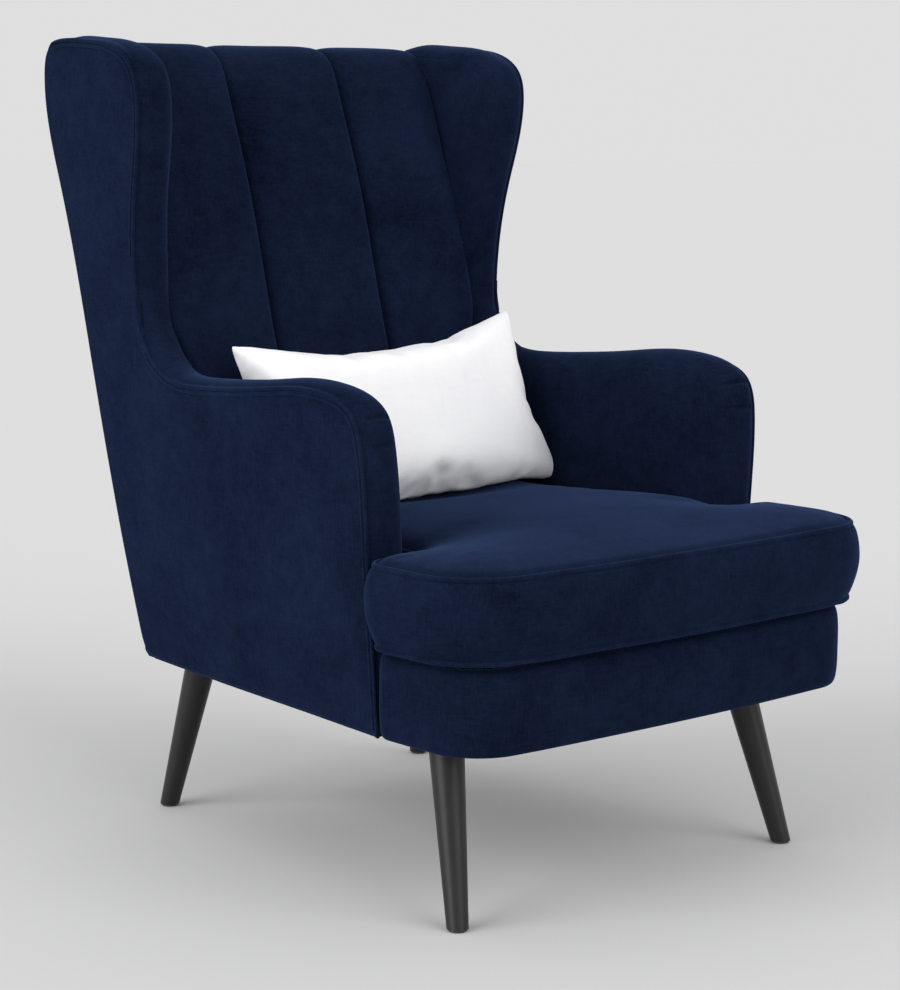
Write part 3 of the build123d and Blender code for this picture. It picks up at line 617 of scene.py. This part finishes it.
def cushion_plan(count):
    """Closed plan of the T-cushion, with rounded ears and a waist between the arms."""
    half = rounded_front(CUSHION_HALF_WIDTH, CUSHION_FRONT, BORDER_BOW, CUSHION_CORNER, CUSHION_EAR_BACK)
    waist = side_x(CUSHION_EAR_BACK, 0.40, INNER_FACE) - 0.008
    back = side_x(CUSHION_BACK, 0.35, INNER_FACE) - 0.008
    turn = np.linspace(0, pi / 2, 8)
    ear = np.column_stack([-CUSHION_HALF_WIDTH + EAR_ROUND * (1 - np.cos(turn)),
                           CUSHION_EAR_BACK - EAR_ROUND * (1 - np.sin(turn))])
    side = [(-waist - 0.006, CUSHION_EAR_BACK), (-waist, CUSHION_EAR_BACK + 0.006)]
    corner = [(-back, CUSHION_BACK - 0.030), (-back + 0.009, CUSHION_BACK - 0.009),
              (-back + 0.030, CUSHION_BACK)]
    left = np.vstack([ear, side, corner])
    plan = np.vstack([half[1:-1], left, left[::-1] * [-1, 1]])
    return even(np.vstack([plan, plan[:1]]), count, closed=True)


def cushion_body():
    """The T-cushion as one closed form: crowned top, bulging sides and a flat underside.

    The top rises from its seam by the crown times 1 - exp(-distance to the edge / 70 mm), with
    20 mm in place of 70 mm between the arms. It sinks towards the back, where the pillow has
    pressed a hollow. The side bulges by the cosine of its height to the power 0.8, and its lower
    seam is drawn in a little.
    """
    plan = cushion_plan(560)
    out = outward(plan, closed=True)
    out *= np.sign(np.sum(out * (plan - CUSHION_CENTRE), axis=1).mean())
    shares = 1 - (1 - np.linspace(0, 1, 60)) ** 1.7
    top = CUSHION_CENTRE + (plan - CUSHION_CENTRE)[None] * shares[:, None, None]
    gap = distance_to(top, plan)
    reach = 0.070 - 0.050 * ease(top[..., 1], -0.30, -0.22)
    crown = CUSHION_CROWN * (1 - 0.55 * ease(top[..., 1], -0.25, 0.10))
    top_z = CUSHION_TOP_SEAM + crown * (1 - np.exp(-gap / reach)) + 0.005 * ease(gap, 0, 0.012)
    dent = np.exp(-((top[..., 0] - PILLOW_X) / DENT_REACH) ** 2) * ease(top[..., 1], -0.06, 0.06)
    top_z = top_z - DENT_DEPTH * dent * ease(gap, 0, 0.05)
    turn = np.linspace(pi / 2, -pi / 2, 24)[1:-1]
    middle = (CUSHION_TOP_SEAM + CUSHION_BOTTOM_SEAM) / 2
    half = (CUSHION_TOP_SEAM - CUSHION_BOTTOM_SEAM) / 2
    # Between the arms there is no room to bulge.
    free = 1 - 0.8 * ease(plan[:, 1], CUSHION_EAR_BACK - 0.01, CUSHION_EAR_BACK + 0.02)
    bulge = CUSHION_BULGE * np.cos(turn) ** 0.8
    drawn_in = CUSHION_UNDERCUT * ease(-np.sin(turn), -0.2, 1.0)
    side = plan[None] + out[None] * ((bulge - drawn_in)[:, None] * free)[..., None]
    side_z = (middle + half * np.sin(turn))[:, None] * np.ones(len(plan))
    bottom_z = CUSHION_BOTTOM_SEAM - 0.0045 * ease(gap[::-1], 0, 0.02)
    inwards = -out * CUSHION_UNDERCUT * free[:, None]
    bottom = (top + inwards[None] * shares[:, None, None])[::-1]
    xy = np.vstack([top, side, bottom])
    z = np.vstack([top_z, side_z, bottom_z])
    return grid_piece("seat_cushion", around(np.concatenate([xy, z[..., None]], axis=-1)))


PIPING_RADIUS = 0.0034


def cushion_piping(name, height, surface):
    """A round cord along one seam of the cushion, laid on the cushion's own surface."""
    plan = cushion_plan(900)
    out = outward(plan, closed=True)
    out *= np.sign(np.sum(out * (plan - CUSHION_CENTRE), axis=1).mean())
    tree = BVHTree.FromObject(surface, bpy.context.evaluated_depsgraph_get())
    guess = np.column_stack([plan + out * 0.001, np.full(len(plan), height)])
    path = np.array([tree.find_nearest(Vector(p))[0] for p in guess])
    # A running average over nine points takes the mesh's small steps out of the cord.
    weight = np.exp(-np.linspace(-2, 2, 9) ** 2)
    weight /= weight.sum()
    for axis in range(3):
        ring = np.concatenate([path[-4:, axis], path[:, axis], path[:4, axis]])
        path[:, axis] = np.convolve(ring, weight, mode="valid")
    path = path + np.column_stack([out * PIPING_RADIUS * 0.45, np.zeros(len(plan))])
    rings = around(tube_points(path, (0, 0, 1), PIPING_RADIUS, 12, closed=True))
    return grid_piece(name, np.concatenate([rings, rings[:1]]))


def evaluated_copy(piece):
    """The piece's mesh with its modifiers worked out."""
    depsgraph = bpy.context.evaluated_depsgraph_get()
    return bpy.data.meshes.new_from_object(piece.evaluated_get(depsgraph), depsgraph=depsgraph)


def vertex_array(mesh):
    """All vertex places of a mesh as an array."""
    place = np.zeros(len(mesh.vertices) * 3, np.float32)
    mesh.vertices.foreach_get("co", place)
    return place.reshape(-1, 3).astype(float)


def remeshed(piece, voxel):
    """Replaces the piece's mesh with an even one of that voxel size."""
    remesh = piece.modifiers.new("remesh", "REMESH")
    remesh.mode = "VOXEL"
    remesh.voxel_size = voxel
    piece.data = evaluated_copy(piece)
    piece.modifiers.clear()
    return piece


def swollen(piece, pressure, cap, held, frames=18, shrink=0.0, stiffness=15.0, bending=0.5):
    """Blows the piece up as cloth and keeps every point within cap of where it was.

    held gives, for each point, how firmly it is pinned, from 0 to 1. shrink is the share by
    which the fabric is cut smaller, or larger when it is negative.
    """
    start = vertex_array(piece.data)
    group = piece.vertex_groups.new(name="held")
    weights = np.clip(held(start), 0, 1)
    for level in range(1, 11):
        chosen = np.nonzero(np.round(weights * 10) == level)[0]
        group.add(chosen.tolist(), level / 10, "REPLACE")
    cloth = piece.modifiers.new("cloth", "CLOTH")
    settings = cloth.settings
    settings.quality = 6
    settings.mass = 0.25
    settings.tension_stiffness = settings.compression_stiffness = stiffness
    settings.shear_stiffness = stiffness / 2
    settings.bending_stiffness = bending
    settings.use_pressure = True
    settings.uniform_pressure_force = pressure
    settings.shrink_min = shrink
    settings.effector_weights.gravity = 0
    settings.vertex_group_mass = "held"
    cloth.collision_settings.use_collision = False
    cloth.point_cache.frame_start, cloth.point_cache.frame_end = 1, frames
    for number in range(1, frames + 1):
        bpy.context.scene.frame_set(number)
    moved = vertex_array(evaluated_copy(piece)) - start
    piece.modifiers.clear()
    piece.vertex_groups.clear()
    length = np.linalg.norm(moved, axis=1)[:, None]
    moved *= cap * np.tanh(length / cap) / np.maximum(length, 1e-9)
    piece.data.vertices.foreach_set("co", (start + moved).astype(np.float32).ravel())
    piece.data.polygons.foreach_set("use_smooth", np.ones(len(piece.data.polygons), bool))
    piece.data.update()
    bpy.context.scene.frame_set(1)
    return piece


def relaxed(piece, rounds, factor=0.5):
    """Evens out a mesh's surface by moving its points towards their neighbours."""
    work = bmesh.new()
    work.from_mesh(piece.data)
    for _ in range(rounds):
        bmesh.ops.smooth_vert(work, verts=work.verts, factor=factor,
                              use_axis_x=True, use_axis_y=True, use_axis_z=True)
    work.to_mesh(piece.data)
    work.free()
    return piece


# ---- Lumbar pillow ------------------------------------------------------------------------------

PILLOW_LEAN = radians(20)   # back against the chair
PILLOW_TURN = radians(-2.2)     # round the vertical
PILLOW_ROLL = radians(3.2)      # its right end up
PILLOW_SLUMP = 0.030
PILLOW_HALF_THICKNESS = 0.024
PILLOW_REST = 0.006         # how softly its lower edge is flattened by the seat
PILLOW_SIZE = np.array([0.492, 0.266])
PILLOW_FOOT = np.array([PILLOW_X, 0.074, 0.410])


def pillow_body():
    """A flat rectangular case, thin at its rim, before it is filled.

    Over the rectangle, with a and b from -1 to 1, its half thickness is 24 mm times the fourth
    root of (1 - a squared) (1 - b squared). Its top and ends are drawn in between the corners, and
    its foot slumps forward in the middle.
    """
    quarter = pi / 2
    a, b = np.meshgrid(np.sin(np.linspace(-quarter, quarter, 120)),
                       np.sin(np.linspace(-quarter, quarter, 64)), indexing="ij")
    half = PILLOW_HALF_THICKNESS * ((1 - a ** 2).clip(0) * (1 - b ** 2).clip(0)) ** 0.25
    x = a * PILLOW_SIZE[0] / 2 * (1 - 0.04 * (1 - b ** 2))
    y = b * PILLOW_SIZE[1] / 2 * (1 + np.where(b > 0, -0.09, 0.10) * (1 - a ** 2))
    slump = -PILLOW_SLUMP * (1 - a ** 2) * ((1 - b) / 2) ** 2
    front = np.stack([x, slump - half, y], axis=-1)
    back = np.stack([x, slump + half, y], axis=-1)
    return grid_piece("lumbar_pillow_case", np.concatenate([front, back[::-1], front[:1]]))


def turned(first, second, angle):
    """Two coordinates turned by an angle, from the first axis towards the second."""
    return first * cos(angle) - second * sin(angle), first * sin(angle) + second * cos(angle)


def surface_heights(piece, places):
    """Height of the piece's top at each place, or the floor's where it has none there."""
    tree = BVHTree.FromObject(piece, bpy.context.evaluated_depsgraph_get())
    down = Vector((0, 0, -1))
    hits = [tree.ray_cast(Vector((x, y, 0.6)), down)[0] for x, y in places]
    return np.array([hit.z if hit else 0.0 for hit in hits])


def stand_pillow(piece, seat):
    """Leans the filled pillow back, and flattens its lower edge where the seat cushion holds it.

    A point at a height c over the seat goes to k times log(1 + exp(c / k)), k being the rest.
    """
    x, y, z = vertex_array(piece.data).T
    x, z = turned(x, z, PILLOW_ROLL)
    z = z + PILLOW_SIZE[1] / 2
    y, z = turned(y, z, -PILLOW_LEAN)
    x, y = turned(x, y, PILLOW_TURN)
    place = np.stack([x, y, z], axis=1) + PILLOW_FOOT
    low = place[:, 2] < 0.50
    below = surface_heights(seat, place[low, :2])
    clear = (place[low, 2] - below) / PILLOW_REST
    place[low, 2] = below + PILLOW_REST * np.logaddexp(0, clear)
    piece.data.vertices.foreach_set("co", place.astype(np.float32).ravel())
    piece.data.update()
    return piece


# ---- Materials ----------------------------------------------------------------------------------


class Wire:
    """A shader socket: arithmetic on it adds Math nodes."""

    def __init__(self, shader, socket):
        self.shader, self.socket = shader, socket

    def maths(self, operation, first, second=0.0):
        return self.shader.wire("ShaderNodeMath", "Value", {"operation": operation}, {0: first, 1: second})

    def __add__(self, other):
        return self.maths("ADD", self, other)

    def __radd__(self, other):
        return self.maths("ADD", other, self)

    def __sub__(self, other):
        return self.maths("SUBTRACT", self, other)

    def __rsub__(self, other):
        return self.maths("SUBTRACT", other, self)

    def __mul__(self, other):
        return self.maths("MULTIPLY", self, other)

    def __rmul__(self, other):
        return self.maths("MULTIPLY", other, self)

    def clamped(self):
        return self.shader.wire("ShaderNodeClamp", "Result", {}, {"Value": self})


class Finish:
    """A material under construction, with one method that makes any node."""

    def __init__(self, name):
        self.material = bpy.data.materials.new(name)
        self.material.use_nodes = True
        self.tree = self.material.node_tree
        self.tree.nodes.clear()
        self.place = self.wire("ShaderNodeTexCoord", "Object")

    def node(self, kind, settings=None, inputs=None):
        node = self.tree.nodes.new(kind)
        for key, value in (settings or {}).items():
            setattr(node, key, value)
        for key, value in (inputs or {}).items():
            if isinstance(value, Wire):
                self.tree.links.new(value.socket, node.inputs[key])
            else:
                node.inputs[key].default_value = value
        return node

    def wire(self, kind, output, settings=None, inputs=None):
        return Wire(self, self.node(kind, settings, inputs).outputs[output])

    def noise(self, scale, detail=3.0, roughness=0.5, distortion=0.0, place=None):
        return self.wire("ShaderNodeTexNoise", "Fac", {"normalize": True},
                         {"Vector": place or self.place, "Scale": scale, "Detail": detail,
                          "Roughness": roughness, "Distortion": distortion})

    def stretched(self, x, y, z):
        return self.wire("ShaderNodeMapping", "Vector", {}, {"Vector": self.place, "Scale": (x, y, z)})

    def mix(self, factor, first, second):
        return self.wire("ShaderNodeMix", 2, {"data_type": "RGBA"}, {0: factor, 6: first, 7: second})

    def bump(self, height, distance, strength=1.0):
        return self.wire("ShaderNodeBump", "Normal", {}, {"Height": height, "Distance": distance,
                                                          "Strength": strength})

    def close(self, colour, roughness, normal=None, **constants):
        inputs = {"Base Color": colour, "Roughness": roughness}
        if normal is not None:
            inputs["Normal"] = normal
        surface = self.node("ShaderNodeBsdfPrincipled", {}, inputs)
        for key, value in constants.items():
            surface.inputs[key.replace("_", " ").title().replace("Ior", "IOR")].default_value = value
        output = self.node("ShaderNodeOutputMaterial")
        self.tree.links.new(surface.outputs[0], output.inputs[0])
        return self.material


NAVY_DARK = (0.0026, 0.0044, 0.0120, 1)
NAVY_LIGHT = (0.0085, 0.0142, 0.0370, 1)
NAVY_SHEEN = (0.24, 0.40, 0.95, 1)


def scaled(colour, factor):
    """A colour made lighter or darker by a factor."""
    return tuple(c * factor for c in colour[:3]) + (1,)


def velvet(name, light=1.0):
    """Short-pile navy velvet: brushed patches of nap, a fine mottle and the pile's own grain. A light above
    1 makes the whole colour lighter, which is painted sheen.
    """
    f = Finish(name)
    brushed = f.noise(7.0, 3.0, 0.55, 0.6)
    mottle = f.noise(48.0, 4.0, 0.65)
    upright = f.noise(1.0, 3.0, 0.6, place=f.stretched(420, 420, 70))
    level = f.noise(1.0, 3.0, 0.6, place=f.stretched(70, 70, 420))
    pile = f.noise(1500.0, 2.0, 0.6)
    nap = (0.5 + (brushed - 0.5) * 1.1 + (mottle - 0.5) * 0.8 + (upright - 0.5) * 0.8
           + (level - 0.5) * 0.7 + (pile - 0.5) * 0.5).clamped()
    colour = f.mix(nap, scaled(NAVY_DARK, light), scaled(NAVY_LIGHT, light))
    roughness = 0.72 + (mottle - 0.5) * 0.2 + (pile - 0.5) * 0.14
    height = pile * 0.4 + upright * 0.4 + level * 0.4 + mottle * 0.5
    return f.close(colour, roughness, f.bump(height, 0.0007, 0.5), sheen_weight=0.15,
                   sheen_roughness=0.4, sheen_tint=NAVY_SHEEN, specular_ior_level=0.0)


def cotton(name):
    """Smooth white cotton with a fine plain weave and a faint cool shade in places."""
    f = Finish(name)
    waves = [f.wire("ShaderNodeTexWave", "Fac", {"bands_direction": axis},
                    {"Vector": f.place, "Scale": 420.0, "Distortion": 0.6, "Detail": 1.0})
             for axis in ("X", "Z")]
    weave = waves[0] * waves[1]
    slub = f.noise(1.0, 3.0, 0.5, place=f.stretched(40, 40, 260))
    shade = f.noise(7.0, 2.0)
    tone = (0.55 + (shade - 0.5) * 0.9 + (slub - 0.5) * 0.5 + (weave - 0.5) * 0.12).clamped()
    colour = f.mix(tone, (0.84, 0.84, 0.875, 1), (0.93, 0.93, 0.935, 1))
    folds = f.noise(1.0, 2.0, 0.5, 0.8, place=f.stretched(30, 30, 7))
    roughness = 0.82 + (slub - 0.5) * 0.12
    return f.close(colour, roughness, f.bump(folds + weave * 0.05 + slub * 0.06, 0.0022, 0.6),
                   sheen_weight=0.12, sheen_roughness=0.5, specular_ior_level=0.25)


def lacquer(name):
    """Satin black lacquer over turned wood, with faint grain and handling marks."""
    f = Finish(name)
    grain = f.noise(1.0, 4.0, 0.6, place=f.stretched(160, 160, 9))
    marks = f.noise(38.0, 3.0)
    colour = f.mix((0.45 + (grain - 0.5) * 1.3).clamped(), (0.006, 0.006, 0.0065, 1),
                   (0.014, 0.014, 0.015, 1))
    roughness = 0.40 + (marks - 0.5) * 0.18 + (grain - 0.5) * 0.10
    return f.close(colour, roughness, f.bump(grain, 0.0003, 0.25), specular_ior_level=0.3,
                   coat_weight=0.1, coat_roughness=0.35)


def timber(name, pale, dark, stretch):
    """Sawn wood: growth lines along one direction and a fine pore grain."""
    f = Finish(name)
    rings = f.noise(1.0, 4.0, 0.55, 1.2, place=f.stretched(*stretch))
    pores = f.noise(900.0, 2.0)
    colour = f.mix((rings * 0.8 + pores * 0.2).clamped(), dark, pale)
    return f.close(colour, 0.66 + (pores - 0.5) * 0.2, f.bump(rings + pores * 0.4, 0.0004, 0.4))


def plain_cloth(name, dark, pale, scale, roughness=0.9):
    """Foam, felt, webbing or tape: a two-tone grain with a soft surface."""
    f = Finish(name)
    grain = f.noise(scale, 3.0, 0.6)
    patches = f.noise(14.0, 2.0)
    colour = f.mix((0.5 + (grain - 0.5) * 1.2 + (patches - 0.5) * 0.6).clamped(), dark, pale)
    return f.close(colour, roughness + (grain - 0.5) * 0.1, f.bump(grain, 0.0005, 0.5))


def metal(name, dark, pale, roughness):
    """Drawn or plated steel with small differences in tone and polish."""
    f = Finish(name)
    tone = f.noise(120.0, 3.0)
    colour = f.mix(tone, dark, pale)
    return f.close(colour, roughness + (tone - 0.5) * 0.2, f.bump(tone, 0.0001, 0.3), metallic=1.0)


def paper_white(name, level):
    """The floor and backdrop: even, matt and pale."""
    f = Finish(name)
    tone = f.noise(0.8, 2.0)
    colour = f.mix(tone, (level,) * 3 + (1,), (level * 1.01,) * 3 + (1,))
    return f.close(colour, 0.9 + (tone - 0.5) * 0.02, specular_ior_level=0.0)


VELVET = velvet("navy_velvet")
# The welt cords and cushion pipings use the same velvet painted 15 percent lighter: a painted sheen where
# light catches their round edges.
WELT_VELVET_PAINTED_SHEEN = velvet("navy_velvet_cords_painted_sheen", 1.15)
COTTON = cotton("white_cotton")
DECKING = plain_cloth("navy_decking", (0.010, 0.016, 0.036, 1), (0.022, 0.034, 0.070, 1), 900)
SLOT_FINISH = {
    "velvet": VELVET,
    "pillow_cotton": COTTON,
    "filling": plain_cloth("cream_foam", (0.60, 0.54, 0.40, 1), (0.78, 0.73, 0.60, 1), 700),
    "webbing": plain_cloth("jute_webbing", (0.16, 0.11, 0.06, 1), (0.34, 0.26, 0.16, 1), 500),
    "black_felt": plain_cloth("black_felt_sheet", (0.010, 0.010, 0.011, 1), (0.03, 0.03, 0.032, 1), 900),
    "plywood": timber("birch_plywood", (0.60, 0.44, 0.27, 1), (0.42, 0.28, 0.15, 1), (14, 14, 130)),
    "frame_timber": timber("pine_frame", (0.62, 0.45, 0.26, 1), (0.44, 0.29, 0.14, 1), (60, 9, 60)),
    "leg_lacquer": lacquer("black_lacquer"),
    "spring_steel": metal("spring_wire", (0.20, 0.20, 0.21, 1), (0.34, 0.34, 0.36, 1), 0.35),
    "zinc_hardware": metal("zinc_plate", (0.50, 0.50, 0.48, 1), (0.66, 0.66, 0.64, 1), 0.32),
    "glide_plastic": plain_cloth("nylon_glides", (0.02, 0.02, 0.02, 1), (0.05, 0.05, 0.05, 1), 300, 0.5),
    "zip": plain_cloth("navy_zip_tape", (0.006, 0.012, 0.035, 1), (0.016, 0.028, 0.07, 1), 1200, 0.6),
}

# ---- Putting the pieces in place ----------------------------------------------------------------


def dress(piece, body, slot, *nodes, material=None, fill=None):
    """Gives a piece its material, chosen by its record slot unless one is given, puts it on its body, and
    hides the CAD nodes that it stands for.
    """
    piece.data.materials.clear()
    piece.data.materials.append(material or SLOT_FINISH[slot])
    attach(piece, body)
    if nodes:
        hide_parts(*nodes)
    return piece


for name, node in frame["nodes"].items():
    slot = next(s["material_slot"] for s in frame["record"]["subparts"] if s["node"] == name)
    node.data.materials.clear()
    node.data.materials.append(SLOT_FINISH[slot])

for side, sign in SIDES.items():
    dress(side_cover(side, sign), "chair", "velvet", f"outside_cover_{side}")
    dress(boxing_band(side, sign), "chair", "velvet", f"boxing_band_{side}", fill=0.7)
    dress(double_welt(side, sign), "chair", "velvet", f"double_welt_{side}", material=WELT_VELVET_PAINTED_SHEEN)
    dress(inner_side(side, sign), "chair", "velvet", f"arm_pad_{side}", f"wing_pad_{side}", fill=0.7)

CHANNELS = {"left": (None, -CHANNEL_SEAM), "centre": (-CHANNEL_SEAM, CHANNEL_SEAM),
            "right": (CHANNEL_SEAM, None)}
for place, (low_x, high_x) in CHANNELS.items():
    dress(back_channel(f"channel_{place}", low_x, high_x), "chair", "velvet",
          f"inside_back_{place}", fill=0.75)

dress(outside_back(), "chair", "velvet", "outside_back_cover")
dress(front_border(), "chair", "velvet", "front_border", fill=0.7)
dress(deck_cover(), "chair", "filling", "deck_pad", material=DECKING, fill=0.5)


def held_at_seams(place):
    """Firm at the cushion's two seams and all over its underside, free on the top and sides."""
    at_top = np.exp(-((place[:, 2] - CUSHION_TOP_SEAM) / 0.007) ** 2)
    gap = distance_to(place[:, :2], cushion_plan(500))
    firm = (place[:, 2] < CUSHION_BOTTOM_SEAM + 0.008) | (place[:, 1] > CUSHION_BACK - 0.006)
    return np.maximum(at_top * (gap < 0.014), firm)


cushion = cushion_body()
remeshed(cushion, 0.006)
swollen(cushion, 2.5, 0.006, held_at_seams, frames=12)
relaxed(cushion, 1)
dress(cushion, "seat_cushion", "velvet", "seat_cushion_cover", "seat_cushion_core", fill=0.8)
for seam, height in {"top": CUSHION_TOP_SEAM, "bottom": CUSHION_BOTTOM_SEAM}.items():
    dress(cushion_piping(f"piping_{seam}", height, cushion), "seat_cushion", "velvet",
          f"cushion_{seam}_piping", material=WELT_VELVET_PAINTED_SHEEN)

pillow = pillow_body()
remeshed(pillow, 0.004)
swollen(pillow, 8.0, 0.045, lambda place: np.zeros(len(place)), frames=20, stiffness=20.0,
        bending=0.3)
relaxed(pillow, 3)
stand_pillow(pillow, cushion)
relaxed(pillow, 4)
dress(pillow, "lumbar_pillow", "pillow_cotton", "pillow_cover", "pillow_insert", fill=0.75)

# ---- Floor, backdrop and light ------------------------------------------------------------------


FLOOR_REACH = 60.0


def studio():
    """A wide level floor that meets an equally pale sky."""
    x, y = np.meshgrid([-FLOOR_REACH, 0, FLOOR_REACH], [-FLOOR_REACH, 0, FLOOR_REACH], indexing="ij")
    floor = grid_piece("studio_floor", np.stack([x, y, np.zeros_like(x)], axis=-1), facing=(0, 0, 1))
    floor.data.materials.append(paper_white("studio_paper", 0.64))


def soft_sun(name, turn, height, strength):
    """A wide, soft light from far away; turn and height are degrees, from straight in front."""
    data = bpy.data.lights.new(name, "SUN")
    data.energy = strength
    data.angle = radians(50)
    light = bpy.data.objects.new(name, data)
    light.rotation_euler = (radians(90 - height), 0, radians(turn))
    bpy.context.scene.collection.objects.link(light)


studio()
soft_sun("key", -98, 20, 2.1)
soft_sun("fill", 8, 30, 1.1)
bpy.context.scene.view_settings.view_transform = "Standard"

world = bpy.data.worlds.new("studio_world")
world.use_nodes = True
world.node_tree.nodes["Background"].inputs["Color"].default_value = (1, 1, 1, 1)
world.node_tree.nodes["Background"].inputs["Strength"].default_value = 0.74
bpy.context.scene.world = world
